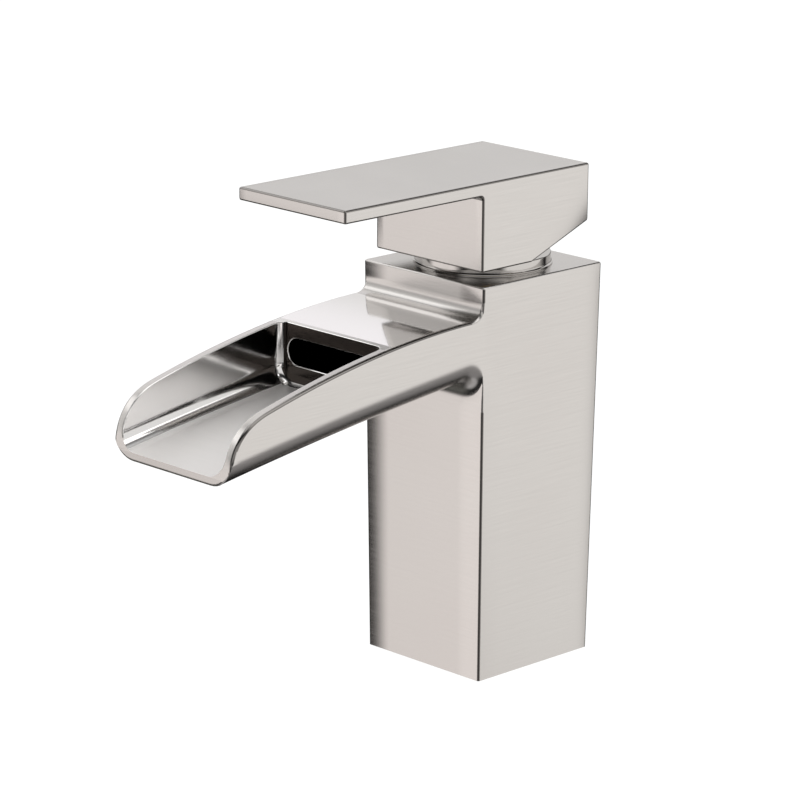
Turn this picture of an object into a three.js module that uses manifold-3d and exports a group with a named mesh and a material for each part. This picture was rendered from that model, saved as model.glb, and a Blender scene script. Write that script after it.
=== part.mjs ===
// A single-lever basin mixer with an open waterfall spout, in millimetres.
// The origin is the centre of the column's foot, +Z points up and the spout points along -Y.
// Heights named in comments are measured from the foot.

import * as THREE from "three";
import { mergeVertices } from "three/addons/utils/BufferGeometryUtils.js";
import Module from "manifold-3d";

const wasm = await Module();
wasm.setup();

// ---------------------------------------------------------------------------
// Driving dimensions
// ---------------------------------------------------------------------------

// Clearances between pieces
const seatGap = 0.3; // between a piece and the face it is seated on
const slipGap = 0.3; // radial play of a round piece in its bore
const sealGap = 0.15; // what an O-ring keeps to its groove and its bore
const leverGap = 0.4; // between the collar and the underside of the lever

// Column
const columnHeight = 109.6;
const columnTopSide = 45.4;
const columnFootSide = 42.6;
const columnEdgeRound = 0.8; // upright edges
const columnTopRound = 0.6; // edge round the top face

// Spout
const spoutReach = 112; // column axis to the lip
const spoutWidth = 45;
const spoutBottomRound = 7.5; // round along the two lower edges
const undersideRootDrop = 25.9; // column top down to the underside, where it meets the column
const undersideRootSlope = 0.0945;
const undersideTipSlope = 0.164;
const deckRootDrop = 8.35; // column top down to the deck, in front of the neck
const neckRound = 4; // fillet between the column and the deck
const deckRootAngle = 1; // degrees below level
const deckTipAngle = 15; // degrees below level, where the deck turns into the nose
const deckHandle = 24; // length of the deck curve's two tangents
const noseLength = 13; // the part of the reach in which the walls run down to the lip
const noseHeight = 18.2; // wall height above the lip's underside, where the nose starts
const noseTopHandle = 12.8;
const noseFrontHandle = 3.4;
const noseFrontAngle = 77.5; // degrees above level, at the lip
const rimRound = 1; // outer edges of the walls
const lipRound = 0.8; // lower edge of the lip
const undersideRound = 6; // fillet between the underside and the column
const rootDraft = 0.6; // the spout's sides close in by this much where they run into the column

// Trough: the open channel on top of the spout
const troughBack = 56; // column axis to the trough's back wall
const troughWall = 2.3; // at the trough's floor
const troughLean = 3.5; // degrees by which its side walls lean in
const troughFloor = 2.4;
const troughBottomRound = 5.5;
const troughCornerRound = 2.75; // upright corners at the back wall

// Waterway inside the body
const slotWidth = 34;
const slotHeight = 7.4;
const slotFloorDrop = 21.9; // column top down to the slot's lower edge
const slotRimRound = 0.5; // chamfer round the slot's mouth
const chamberWidth = 16; // well in front of the cartridge, which feeds the slot
const chamberWall = 3; // between the well and the column's front face
const inletSpacing = 14; // between the hot and the cold way
const inletOffset = 4; // behind the axis
const inletRadius = 2.7;
const hosePortRadius = 4.5; // M10 x 1 thread, at its minor diameter
const hosePortDepth = 11;
const studRadius = 3.4; // M8 thread, at its minor diameter
const studOffset = 10.5; // in front of the axis
const studDepth = 18;
const portChamfer = 0.6;

// Foot gasket
const gasketRadius = 17.5; // middle of the ring
const gasketWidth = 2.2;
const gasketHeight = 1.8;

// Cartridge
const cartridgeRadius = 17.5;
const cartridgeWall = 2.3;
const housingCapThickness = 2.3;
const basePlugHeight = 4.4;
const baseRimHeight = 5.7;
const outletWindowWidth = 11;
const outletWindowHeight = 3.4;
const pegRadius = 1.6; // the two pegs that key the cartridge to its seat
const pegLength = 2.2;
const pegSpacing = 24;
const discSealThickness = 1;
const fixedDiscThickness = 4;
const movingDiscThickness = 4;
const movingDiscRadius = 12.2;
const movingDiscRest = 2; // the closed disc lies this far behind the axis
const mixingDepth = 2.4; // hollow in the disc's underside
const mixingWall = 1.7; // between the hollow and the disc's edge
const mixingReach = 1; // how far the hollow reaches over the inlets
const mixingRound = 1;
const outletHoleRadius = 3.4;
const outletHoleOffset = 8;
const carrierThickness = 4.9;
const lugWidth = 3;
const lugHeight = 1.8;
const portSealWall = 1.5;
const portSealHeight = 2;
const housingRingRadius = 0.7; // section of the O-ring round the housing

// Spindle, stem and pin
const neckRadius = 11;
const neckRise = 2.4; // neck top above the column's top
const flangeThickness = 2;
const pivotDrop = 3.6; // pin axis below the column's top
const pinRadius = 2;
const stemSide = 8;
const stemEdge = 0.5; // round along the stem's four edges
const armRadius = 3;
const ballRadius = 3.6;
const ballDrop = 11.5; // pin axis down to the middle of the ball
const liftAngle = 20; // degrees that the lever lifts
const swingGap = 0.4; // between the stem and its slot

// Retaining nut, limit ring and collar
const nutRadius = 18.3; // M37 x 1 thread, at its major diameter
const nutThreadLength = 8.2;
const nutSetDown = 0.7; // thread top below the column's top
const nutLandRadius = 15.4;
const nutBore = 12.6;
const nutSlotWidth = 3.5;
const limitRingWidth = 2.8;
const limitRingHeight = 2.4;
const collarRadius = 18.35;
const collarFlare = 0.85; // the collar's foot stands out this far
const collarWall = 2.1;
const collarCap = 0.7;
const collarEdge = 0.3; // chamfer round the top, and the straight band round the foot
const collarRingRadius = 0.55; // section of the O-ring inside the collar

// Handle
const handleWidth = 40.2;
const handleRear = 19.8; // pin axis back to the rear face
const plateLength = 90.3;
const plateThickness = 3.6;
const blockLength = 40.5;
const blockHeight = 20.2; // underside of the block to underside of the plate
const handleRise = 3.7; // underside of the block above the column's top
const reliefAngle = 20.9; // slope of the cut that lets the raised lever clear the collar
const reliefStart = 1.15; // the cut starts this far in front of the axis
const plateFillet = 1;
const handleEdge = 0.5; // round along the edges that run across
const handleSideEdge = 0.35; // round along the edges of the two sides; smaller than handleEdge
const handleWall = 3;
const pocketCeiling = 15.2; // underside of the block up to the pocket's ceiling
const pocketRound = 2;
const bossSide = 15;
const bossRound = 1;
const bossGap = 3.7; // underside of the block up to the boss
const socketDepth = 13; // boss face up to the socket's end
const screwHeight = 12.7; // underside of the block up to the set screw's axis
const screwRadius = 2.5; // M5
const screwLength = 8;
const screwPoint = 1; // chamfer at the tip
const screwHexSide = 1.45;
const screwHexDepth = 2.5;
const plugRadius = 3.8;
const plugLength = 2.6;

// ---------------------------------------------------------------------------
// Heights and places worked out from them
// ---------------------------------------------------------------------------

const nutTop = columnHeight - nutSetDown;
const nutBottom = nutTop - nutThreadLength;
const housingTop = nutBottom - seatGap;
const housingCeiling = housingTop - housingCapThickness;
const flangeTop = housingCeiling - seatGap;
const flangeBottom = flangeTop - flangeThickness;
const carrierTop = flangeBottom - seatGap;
const carrierBottom = carrierTop - carrierThickness;
const movingDiscTop = carrierBottom - seatGap;
const movingDiscBottom = movingDiscTop - movingDiscThickness;
const fixedDiscTop = movingDiscBottom - seatGap;
const fixedDiscBottom = fixedDiscTop - fixedDiscThickness;
const discSealTop = fixedDiscBottom - seatGap;
const discSealBottom = discSealTop - discSealThickness;
const baseTop = discSealBottom - seatGap;
const baseShoulder = baseTop - basePlugHeight;
const baseBottom = baseShoulder - baseRimHeight;
const seatLevel = baseBottom - seatGap;

const boreRadius = cartridgeRadius + slipGap + 2 * sealGap;
const threadBore = nutRadius + slipGap;
const housingInside = cartridgeRadius - cartridgeWall;
const discRadius = housingInside - slipGap;
const inletX = inletSpacing / 2;

const pivotHeight = columnHeight - pivotDrop;
const ballHeight = pivotHeight - ballDrop;
const neckTop = columnHeight + neckRise;
const blockBottom = columnHeight + handleRise;
const blockTop = blockBottom + blockHeight;
const handleTop = blockTop + plateThickness;
const collarBottom = columnHeight + seatGap;
const collarTop = blockBottom - leverGap;
const bossBottom = blockBottom + bossGap;
const socketTop = bossBottom + socketDepth;
const screwLevel = blockBottom + screwHeight;

const slotBottom = columnHeight - slotFloorDrop;
const slotTop = slotBottom + slotHeight;
const undersideRoot = columnHeight - undersideRootDrop;
const deckRoot = columnHeight - deckRootDrop;

// Half of the column's side at a height.
function columnHalf(height) {
  const share = height / columnHeight;
  return THREE.MathUtils.lerp(columnFootSide, columnTopSide, share) / 2;
}
const frontAtUnderside = -columnHalf(undersideRoot);
const frontAtNeck = -columnHalf(deckRoot);

// Height of the spout's underside: a parabola whose slope grows from the column to the lip.
function undersideAt(y) {
  const out = y - frontAtUnderside;
  const bend = (undersideTipSlope - undersideRootSlope) / (2 * (spoutReach + frontAtUnderside));
  return undersideRoot + undersideRootSlope * out - bend * out * out;
}
const lipUnderside = undersideAt(-spoutReach);

// ---------------------------------------------------------------------------
// Shapes and solids
// ---------------------------------------------------------------------------

const X = new THREE.Vector3(1, 0, 0);
const Y = new THREE.Vector3(0, 1, 0);
const Z = new THREE.Vector3(0, 0, 1);
const TURN_UP = new THREE.Matrix4().makeRotationX(Math.PI / 2);
const PROFILE_TO_SIDE = new THREE.Matrix4().makeBasis(Y, Z, X);
const FINE = 48; // sides of a round piece
const PLAIN = 24; // sides of a smaller one
const TINY = 16; // sides of a pin or a screw

// A closed geometry as a solid that can be joined and cut.
function solid(geometry) {
  const bare = geometry.clone();
  bare.deleteAttribute("normal");
  bare.deleteAttribute("uv");
  const merged = mergeVertices(bare, 1e-4);
  return new wasm.Manifold(
    new wasm.Mesh({
      numProp: 3,
      vertProperties: new Float32Array(merged.attributes.position.array),
      triVerts: new Uint32Array(merged.index.array),
    }),
  );
}

// The geometry of a solid, with flat faces.
function geometryOf(body) {
  const { numProp, vertProperties, triVerts } = body.getMesh();
  const corners = new Float32Array(triVerts.length * 3);
  triVerts.forEach((vertex, i) => {
    corners.set(vertProperties.subarray(vertex * numProp, vertex * numProp + 3), i * 3);
  });
  const geometry = new THREE.BufferGeometry();
  geometry.setAttribute("position", new THREE.BufferAttribute(corners, 3));
  geometry.computeVertexNormals();
  return geometry;
}

// A closed outline through corners [x, y, radius], each corner rounded by an arc.
function outline(corners) {
  const shape = new THREE.Shape();
  corners.forEach(([x, y, radius = 0], i) => {
    const at = new THREE.Vector2(x, y);
    const [beforeX, beforeY] = corners.at(i - 1);
    const [afterX, afterY] = corners[(i + 1) % corners.length];
    const back = new THREE.Vector2(beforeX, beforeY).sub(at).normalize();
    const on = new THREE.Vector2(afterX, afterY).sub(at).normalize();
    if (radius === 0) {
      if (i === 0) shape.moveTo(x, y);
      else shape.lineTo(x, y);
      return;
    }
    const halfAngle = Math.acos(back.dot(on)) / 2;
    const reach = radius / Math.tan(halfAngle);
    const middle = back.clone().add(on).normalize();
    const centre = at.clone().addScaledVector(middle, radius / Math.sin(halfAngle));
    const start = at.clone().addScaledVector(back, reach).sub(centre);
    const end = at.clone().addScaledVector(on, reach).sub(centre);
    const clockwise = back.cross(on) > 0;
    if (i === 0) shape.moveTo(centre.x + start.x, centre.y + start.y);
    else shape.lineTo(centre.x + start.x, centre.y + start.y);
    shape.absarc(centre.x, centre.y, radius, start.angle(), end.angle(), clockwise);
  });
  return shape;
}

// A rectangle's four corners for outline(), all with one radius.
function rectangle(left, right, low, high, radius = 0) {
  return [
    [left, low, radius],
    [right, low, radius],
    [right, high, radius],
    [left, high, radius],
  ];
}

// A plan outline raised from one height to another.
function raise(shape, low, high, curveSegments = 3) {
  const geometry = new THREE.ExtrudeGeometry(shape, {
    depth: high - low,
    bevelEnabled: false,
    curveSegments,
  });
  return solid(geometry.translate(0, 0, low));
}

// A side view in Y and Z, given its width across X, with an optional chamfer on both sides.
function sideways(shape, width, chamfer = 0, curveSegments = 6) {
  const geometry = new THREE.ExtrudeGeometry(shape, {
    depth: width - 2 * chamfer,
    bevelEnabled: chamfer > 0,
    bevelThickness: chamfer,
    bevelSize: chamfer,
    bevelOffset: -chamfer,
    bevelSegments: 2,
    curveSegments,
  });
  return solid(geometry.translate(0, 0, chamfer - width / 2).applyMatrix4(PROFILE_TO_SIDE));
}

// A section in X and Z, carried through stations that run along -Y. Each station lifts the
// section and may spread its two sides apart.
function loft(section, stations, curveSegments = 4) {
  const last = stations.length - 1;
  const geometry = new THREE.ExtrudeGeometry(section, {
    depth: last,
    steps: last,
    bevelEnabled: false,
    curveSegments,
  });
  const places = geometry.attributes.position;
  for (let i = 0; i < places.count; i++) {
    const { y, lift, spread = 0 } = stations[Math.round(places.getZ(i))];
    const x = places.getX(i);
    places.setXYZ(i, x + Math.sign(x) * spread, y, places.getY(i) + lift);
  }
  return solid(geometry);
}

// A profile of [radius, height] points turned round Z. A ring's profile closes on itself.
function revolve(profile, segments = FINE, closed = true) {
  const points = profile.map(([radius, height]) => new THREE.Vector2(radius, height));
  if (closed) points.push(points[0].clone());
  return solid(new THREE.LatheGeometry(points, segments).applyMatrix4(TURN_UP));
}

// A plain ring between two radii and two heights.
function ring(inner, outer, low, high, segments = FINE) {
  return revolve([[inner, low], [outer, low], [outer, high], [inner, high]], segments);
}

// An upright round bar at a place in plan.
function bar(radius, low, high, x = 0, y = 0, segments = PLAIN) {
  const geometry = new THREE.CylinderGeometry(radius, radius, high - low, segments);
  return solid(geometry.applyMatrix4(TURN_UP).translate(x, y, (low + high) / 2));
}

// An O-ring: its middle radius, its height and the radius of its section.
function oRing(radius, height, sectionRadius) {
  return solid(new THREE.TorusGeometry(radius, sectionRadius, 8, FINE).translate(0, 0, height));
}

// A block between three pairs of limits.
function block([left, right], [front, rear], [low, high]) {
  const geometry = new THREE.BoxGeometry(right - left, rear - front, high - low);
  return solid(geometry.translate((left + right) / 2, (front + rear) / 2, (low + high) / 2));
}

const joinAll = (...solids) => solids.reduce((sum, next) => sum.add(next));
const cutAll = (body, ...tools) => tools.reduce((rest, tool) => rest.subtract(tool), body);

// ---------------------------------------------------------------------------
// Finishes
// ---------------------------------------------------------------------------

const finish = (color, roughness, metalness) => () =>
  new THREE.MeshStandardMaterial({ color, roughness, metalness });
const brushedNickel = finish("#c4bdb8", 0.34, 1);
const polishedNickel = finish("#d3cecb", 0.14, 1);
const rawBrass = finish("#b58f4c", 0.35, 1);
const steel = finish("#b9bbbd", 0.3, 1);
const acetal = finish("#e9e7e0", 0.45, 0);
const greyPlastic = finish("#8d9094", 0.5, 0);
const redPlastic = finish("#b3261e", 0.5, 0);
const ceramic = finish("#f3efe6", 0.15, 0);
const rubber = finish("#1d1d1f", 0.8, 0);

const OVER = 1; // how far a cutting tool runs past the face that it opens
const FAR = 200; // well outside the faucet

// ---------------------------------------------------------------------------
// Faucet body: column and spout cast in one piece, with the waterway inside
// ---------------------------------------------------------------------------

// The column is a rounded square that narrows towards the foot.
function columnSolid() {
  const half = columnTopSide / 2;
  const start = -2 * columnTopRound; // the lower bevel is cut away with what lies under the foot
  const plan = outline(rectangle(-half, half, -half, half, columnEdgeRound));
  const geometry = new THREE.ExtrudeGeometry(plan, {
    depth: columnHeight - start - 2 * columnTopRound,
    bevelThickness: columnTopRound,
    bevelSize: columnTopRound,
    bevelOffset: -columnTopRound,
    bevelSegments: 2,
    curveSegments: 2,
  });
  geometry.translate(0, 0, start + columnTopRound);
  const places = geometry.attributes.position;
  for (let i = 0; i < places.count; i++) {
    const narrowing = columnHalf(places.getZ(i)) / half;
    places.setXY(i, places.getX(i) * narrowing, places.getY(i) * narrowing);
  }
  return solid(geometry).subtract(block([-FAR, FAR], [-FAR, FAR], [-FAR, 0]));
}

// A point moved by a distance along a direction in the side view.
function moved([y, z], degrees, distance) {
  const angle = THREE.MathUtils.degToRad(degrees);
  return [y + distance * Math.cos(angle), z + distance * Math.sin(angle)];
}

// The spout's side view from above: neck fillet, sloping deck and the nose down to the lip.
function spoutSideView() {
  const neck = [frontAtNeck - neckRound, deckRoot];
  const noseStart = [-spoutReach + noseLength, lipUnderside + noseHeight];
  const lip = [-spoutReach, lipUnderside + troughFloor];
  const shape = new THREE.Shape();
  shape.moveTo(0, undersideRoot - FAR);
  shape.lineTo(0, deckRoot + neckRound);
  shape.lineTo(frontAtNeck, deckRoot + neckRound);
  shape.quadraticCurveTo(frontAtNeck, deckRoot, ...neck);
  shape.bezierCurveTo(
    ...moved(neck, 180 + deckRootAngle, deckHandle),
    ...moved(noseStart, deckTipAngle, deckHandle),
    ...noseStart,
  );
  shape.bezierCurveTo(
    ...moved(noseStart, 180 + deckTipAngle, noseTopHandle),
    ...moved(lip, noseFrontAngle, noseFrontHandle),
    ...lip,
  );
  shape.lineTo(-spoutReach, undersideRoot - FAR);
  return shape;
}

// A U-shaped section: flat below with two rounds, open upwards. Its sides may lean in.
function channelSection(half, radius, lean = 0) {
  const height = columnHeight;
  const top = half - height * Math.tan(THREE.MathUtils.degToRad(lean));
  return outline([
    [-half, 0, radius],
    [half, 0, radius],
    [top, height],
    [-top, height],
  ]);
}

// Evenly spaced places from one to another, both ends included.
function spaced(from, to, count) {
  return Array.from({ length: count + 1 }, (_, i) => THREE.MathUtils.lerp(from, to, i / count));
}

// The fillet under the spout, as stations whose underside drops round a quarter circle.
function rootStations() {
  return spaced(0, Math.PI / 2, 6).map((angle) => {
    const y = frontAtUnderside - undersideRound * (1 - Math.cos(angle));
    return { y, lift: undersideAt(y) - undersideRound * (1 - Math.sin(angle)) };
  });
}

// The round under the lip, and a last station beyond it.
function lipStations() {
  const stations = spaced(Math.PI / 6, Math.PI / 2, 2).map((angle) => {
    const y = -spoutReach + lipRound * (1 - Math.sin(angle));
    return { y, lift: undersideAt(y) + lipRound * (1 - Math.cos(angle)) };
  });
  return [...stations, { y: -spoutReach - OVER, lift: lipUnderside + lipRound }];
}

function spoutSolid() {
  const section = channelSection(spoutWidth / 2, spoutBottomRound);
  const inside = { y: 0, lift: undersideAt(frontAtUnderside) - undersideRound, spread: -rootDraft };
  const root = loft(section, [inside, ...rootStations()]);
  const outside = spaced(frontAtUnderside, -spoutReach + lipRound, 13);
  const underside = outside.map((y) => ({ y, lift: undersideAt(y) }));
  const behind = { y: 0, lift: undersideAt(frontAtUnderside), spread: -rootDraft };
  const run = loft(section, [behind, ...underside, ...lipStations()]);
  return root.add(run).intersect(sideways(spoutSideView(), spoutWidth, rimRound));
}

// Stations along the trough: round its two rear corners, then out past the lip.
function troughStations() {
  const corners = spaced(0, Math.PI / 2, 4).map((angle) => {
    const y = -troughBack - troughCornerRound * (1 - Math.cos(angle));
    return { y, spread: -troughCornerRound * (1 - Math.sin(angle)) };
  });
  const run = spaced(-troughBack - troughCornerRound, -spoutReach - 2 * OVER, 10);
  const places = [...corners, ...run.slice(1).map((y) => ({ y, spread: 0 }))];
  return places.map(({ y, spread }) => ({ y, spread, lift: undersideAt(y) + troughFloor }));
}

function troughSolid() {
  const half = spoutWidth / 2 - troughWall;
  return loft(channelSection(half, troughBottomRound, troughLean), troughStations());
}

// The water outlet: a wide slot with round ends, from the well to the trough's back wall.
function slotSolid() {
  const middle = (slotBottom + slotTop) / 2;
  const grown = (extra) => {
    const end = slotHeight / 2 + extra;
    const side = slotWidth / 2 + extra;
    return outline(rectangle(-side, side, middle - end, middle + end, end - 0.01));
  };
  const back = -columnHalf(slotBottom) + chamberWall;
  const way = loft(grown(0), [{ y: back, lift: 0 }, { y: -troughBack - OVER, lift: 0 }], 5);
  const mouth = loft(grown(slotRimRound), [
    { y: -troughBack + slotRimRound, lift: 0 },
    { y: -troughBack - OVER, lift: 0 },
  ], 5);
  return way.add(mouth);
}

// The well, which carries mixed water from the cartridge's outlet up to the slot.
function wellSolid() {
  const half = chamberWidth / 2;
  const front = -columnHalf(seatLevel) + chamberWall;
  return block([-half, half], [front, -boreRadius / 2], [seatLevel, slotTop]);
}

// The two pegs that key the cartridge's base to its seat, or their holes.
function pegs(radius, low, high) {
  return [-pegSpacing / 2, pegSpacing / 2].map((x) => bar(radius, low, high, x, 0, TINY));
}

// A blind threaded hole from the foot, with a chamfered mouth.
function footHole(radius, depth, x, y) {
  const mouth = new THREE.CylinderGeometry(radius, radius + 2 * portChamfer, 2 * portChamfer, PLAIN);
  const chamfer = solid(mouth.applyMatrix4(TURN_UP).translate(x, y, 0));
  return bar(radius, -OVER, depth, x, y).add(chamfer);
}

function bodySolid() {
  const half = gasketWidth / 2 + sealGap;
  const groove = ring(gasketRadius - half, gasketRadius + half, -OVER, gasketHeight + sealGap);
  const ways = [-inletX, inletX].flatMap((x) => [
    footHole(hosePortRadius, hosePortDepth, x, inletOffset),
    bar(inletRadius, OVER, seatLevel + OVER, x, inletOffset),
  ]);
  const pegHoles = pegs(pegRadius + slipGap, seatLevel - pegLength, seatLevel + OVER);
  return cutAll(
    columnSolid().add(spoutSolid()),
    bar(boreRadius, seatLevel, columnHeight + OVER, 0, 0, FINE),
    bar(threadBore, housingTop - OVER, columnHeight + OVER, 0, 0, FINE),
    troughSolid(),
    slotSolid(),
    wellSolid(),
    groove,
    ...ways,
    ...pegHoles,
    footHole(studRadius, studDepth, 0, -studOffset),
  );
}

// ---------------------------------------------------------------------------
// Foot gasket: a flat rubber ring in the groove of the foot
// ---------------------------------------------------------------------------

function gasketSolid() {
  const half = gasketWidth / 2;
  return ring(gasketRadius - half, gasketRadius + half, 0, gasketHeight);
}

// ---------------------------------------------------------------------------
// Cartridge: housing, base and seals
// ---------------------------------------------------------------------------

const grooveHeight = 2 * (housingRingRadius + sealGap);
const housingRingLevel = housingCeiling - grooveHeight / 2;
const housingGrooveFloor = boreRadius - 2 * (housingRingRadius + sealGap);

function housingSolid() {
  const low = baseShoulder + seatGap;
  const grooveLow = housingRingLevel - grooveHeight / 2;
  const grooveHigh = housingRingLevel + grooveHeight / 2;
  return revolve([
    [housingInside, low],
    [cartridgeRadius, low],
    [cartridgeRadius, grooveLow],
    [housingGrooveFloor, grooveLow],
    [housingGrooveFloor, grooveHigh],
    [cartridgeRadius, grooveHigh],
    [cartridgeRadius, housingTop],
    [neckRadius + slipGap, housingTop],
    [neckRadius + slipGap, housingCeiling],
    [housingInside, housingCeiling],
  ]);
}

function housingRingSolid() {
  const middle = (housingGrooveFloor + boreRadius) / 2;
  return oRing(middle, housingRingLevel, housingRingRadius);
}

// The three ways through the base, the disc seal and the fixed disc.
function waterWays(extra, low, high) {
  return [
    bar(inletRadius + extra, low, high, -inletX, inletOffset, PLAIN),
    bar(inletRadius + extra, low, high, inletX, inletOffset, PLAIN),
    bar(outletHoleRadius + extra, low, high, 0, -outletHoleOffset, PLAIN),
  ];
}

const portSealRadius = inletRadius + portSealWall;

// The base closes the housing below. Mixed water leaves through the window in its front.
function baseSolid() {
  const rim = bar(cartridgeRadius, baseBottom, baseShoulder, 0, 0, FINE);
  const plug = bar(discRadius, baseShoulder - OVER, baseTop, 0, 0, FINE);
  const feet = pegs(pegRadius, baseBottom - pegLength + seatGap, baseBottom + OVER);
  const windowTop = baseShoulder - (baseRimHeight - outletWindowHeight) / 2;
  const windowLow = windowTop - outletWindowHeight;
  const window = block(
    [-outletWindowWidth / 2, outletWindowWidth / 2],
    [-FAR, -outletHoleOffset],
    [windowLow, windowTop],
  );
  const [cold, hot] = waterWays(0, baseBottom - OVER, baseTop + OVER);
  const outlet = bar(outletHoleRadius, windowLow, baseTop + OVER, 0, -outletHoleOffset);
  const sealSeats = [-inletX, inletX].map((x) =>
    bar(portSealRadius + sealGap, baseBottom - OVER, baseBottom + portSealHeight, x, inletOffset),
  );
  return cutAll(joinAll(rim, plug, ...feet), window, cold, hot, outlet, ...sealSeats);
}

// A seal between one way of the base and the seat, flush with the seat gap.
function portSealSolid(x) {
  const low = baseBottom - seatGap / 2;
  const high = baseBottom + portSealHeight - sealGap;
  const outer = bar(portSealRadius, low, high, x, inletOffset);
  return outer.subtract(bar(inletRadius, low - OVER, high + OVER, x, inletOffset));
}

function discSealSolid() {
  const plate = bar(discRadius - slipGap, discSealBottom, discSealTop, 0, 0, FINE);
  return cutAll(plate, ...waterWays(0, discSealBottom - OVER, discSealTop + OVER));
}

function fixedDiscSolid() {
  const plate = bar(discRadius, fixedDiscBottom, fixedDiscTop, 0, 0, FINE);
  return cutAll(plate, ...waterWays(0, fixedDiscBottom - OVER, fixedDiscTop + OVER));
}

// ---------------------------------------------------------------------------
// Moving disc and its carrier
// ---------------------------------------------------------------------------

// The carrier's two lugs, or the notches that take them.
function lugs(extra, low, high) {
  const reach = movingDiscRadius + (extra > 0 ? OVER : -seatGap);
  const half = lugWidth / 2 + extra;
  const inner = movingDiscRadius - lugWidth - extra;
  return [
    block([-reach, -inner], [movingDiscRest - half, movingDiscRest + half], [low, high]),
    block([inner, reach], [movingDiscRest - half, movingDiscRest + half], [low, high]),
  ];
}

// The mixing hollow under the disc joins the open parts of both inlets to the outlet.
function movingDiscSolid() {
  const plate = bar(movingDiscRadius, movingDiscBottom, movingDiscTop, 0, movingDiscRest, FINE);
  const half = inletX - inletRadius + mixingReach;
  const front = movingDiscRest - movingDiscRadius + mixingWall;
  const hollow = outline(rectangle(-half, half, front, -mixingRound, mixingRound));
  return cutAll(
    plate,
    raise(hollow, movingDiscBottom - OVER, movingDiscBottom + mixingDepth),
    ...lugs(slipGap, movingDiscTop - lugHeight - slipGap, movingDiscTop + OVER),
  );
}

// The carrier hangs on the stem's ball and drags the disc with its lugs.
function carrierSolid() {
  const plate = bar(movingDiscRadius, carrierBottom, carrierTop, 0, movingDiscRest, FINE);
  const socket = bar(ballRadius + swingGap, carrierBottom - OVER, carrierTop + OVER);
  const feet = lugs(0, movingDiscTop - lugHeight, carrierBottom + OVER);
  return joinAll(plate, ...feet).subtract(socket);
}

// ---------------------------------------------------------------------------
// Spindle, pivot pin and stem
// ---------------------------------------------------------------------------

// The slot lets the stem swing from upright to its lifted place.
function swingSlot() {
  const lean = Math.tan(THREE.MathUtils.degToRad(liftAngle));
  const stretch = 1 / Math.cos(THREE.MathUtils.degToRad(liftAngle));
  const above = neckTop + OVER - pivotHeight;
  const below = pivotHeight - flangeBottom + OVER;
  const half = stemSide / 2;
  const shape = new THREE.Shape();
  shape.moveTo(-half - swingGap, pivotHeight + above);
  shape.lineTo(-half - swingGap, pivotHeight);
  shape.lineTo(-below * lean - half * stretch - swingGap, pivotHeight - below);
  shape.lineTo(half + swingGap, pivotHeight - below);
  shape.lineTo(half * stretch + swingGap, pivotHeight);
  shape.lineTo(above * lean + half * stretch + swingGap, pivotHeight + above);
  return sideways(shape, stemSide + 2 * swingGap);
}

function spindleSolid() {
  const flange = bar(discRadius, flangeBottom, flangeTop, 0, 0, FINE);
  const neck = bar(neckRadius, flangeBottom, neckTop, 0, 0, FINE);
  return cutAll(flange.add(neck), swingSlot(), crossBar(pinRadius + slipGap, 2 * neckRadius + OVER));
}

// A round bar across X, on the pivot's axis.
function crossBar(radius, length) {
  const geometry = new THREE.CylinderGeometry(radius, radius, length, TINY);
  return solid(geometry.rotateZ(Math.PI / 2).translate(0, 0, pivotHeight));
}

function pinSolid() {
  return crossBar(pinRadius, 2 * (neckRadius - seatGap));
}

// The stem is square where the handle clamps it and ends in a ball below the pin.
function stemSolid() {
  const half = stemSide / 2;
  const shoulder = pivotHeight - half - seatGap;
  const square = outline(rectangle(-half, half, -half, half, stemEdge));
  const shaft = raise(square, shoulder, socketTop - seatGap);
  const arm = bar(armRadius, ballHeight, shoulder + OVER);
  const ball = solid(new THREE.SphereGeometry(ballRadius, TINY, 12).translate(0, 0, ballHeight));
  return joinAll(shaft, arm, ball).subtract(crossBar(pinRadius + slipGap, FAR));
}

// ---------------------------------------------------------------------------
// Limit ring, retaining nut, collar and its O-ring
// ---------------------------------------------------------------------------

const limitRingInner = neckRadius + slipGap;
const limitRingOuter = limitRingInner + limitRingWidth;

// The toothed ring round the neck that sets how far the lever turns towards hot.
function limitRingSolid() {
  const low = housingTop + seatGap;
  const high = low + limitRingHeight;
  const toothCount = 24;
  const toothDepth = 0.5;
  const crown = new THREE.Shape();
  for (let i = 0; i < 2 * toothCount; i++) {
    const radius = limitRingOuter - (i % 2) * toothDepth;
    const angle = (i / toothCount) * Math.PI;
    const place = [radius * Math.cos(angle), radius * Math.sin(angle)];
    if (i === 0) crown.moveTo(...place);
    else crown.lineTo(...place);
  }
  return raise(crown, low, high).subtract(bar(limitRingInner, low - OVER, high + OVER, 0, 0, FINE));
}

const collarInside = collarRadius - collarWall;
const collarRingLevel = (nutTop + collarTop - collarCap) / 2;
const landGrooveFloor = collarInside - 2 * (collarRingRadius + sealGap);
const landTop = collarTop - collarCap - seatGap;

function nutSolid() {
  const recess = limitRingOuter + slipGap;
  const recessTop = housingTop + limitRingHeight + 2 * seatGap;
  const grooveHalf = collarRingRadius + sealGap;
  const profile = [
    [recess, nutBottom],
    [nutRadius, nutBottom],
    [nutRadius, nutTop],
    [nutLandRadius, nutTop],
    [nutLandRadius, collarRingLevel - grooveHalf],
    [landGrooveFloor, collarRingLevel - grooveHalf],
    [landGrooveFloor, collarRingLevel + grooveHalf],
    [nutLandRadius, collarRingLevel + grooveHalf],
    [nutLandRadius, landTop],
    [nutBore, landTop],
    [nutBore, recessTop],
    [recess, recessTop],
  ];
  const slotHalf = nutSlotWidth / 2;
  const keySlots = block([-slotHalf, slotHalf], [-FAR, FAR], [nutTop, landTop + OVER]);
  return revolve(profile).subtract(keySlots);
}

function collarRingSolid() {
  const middle = collarInside - collarRingRadius - sealGap;
  return oRing(middle, collarRingLevel, collarRingRadius);
}

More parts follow.
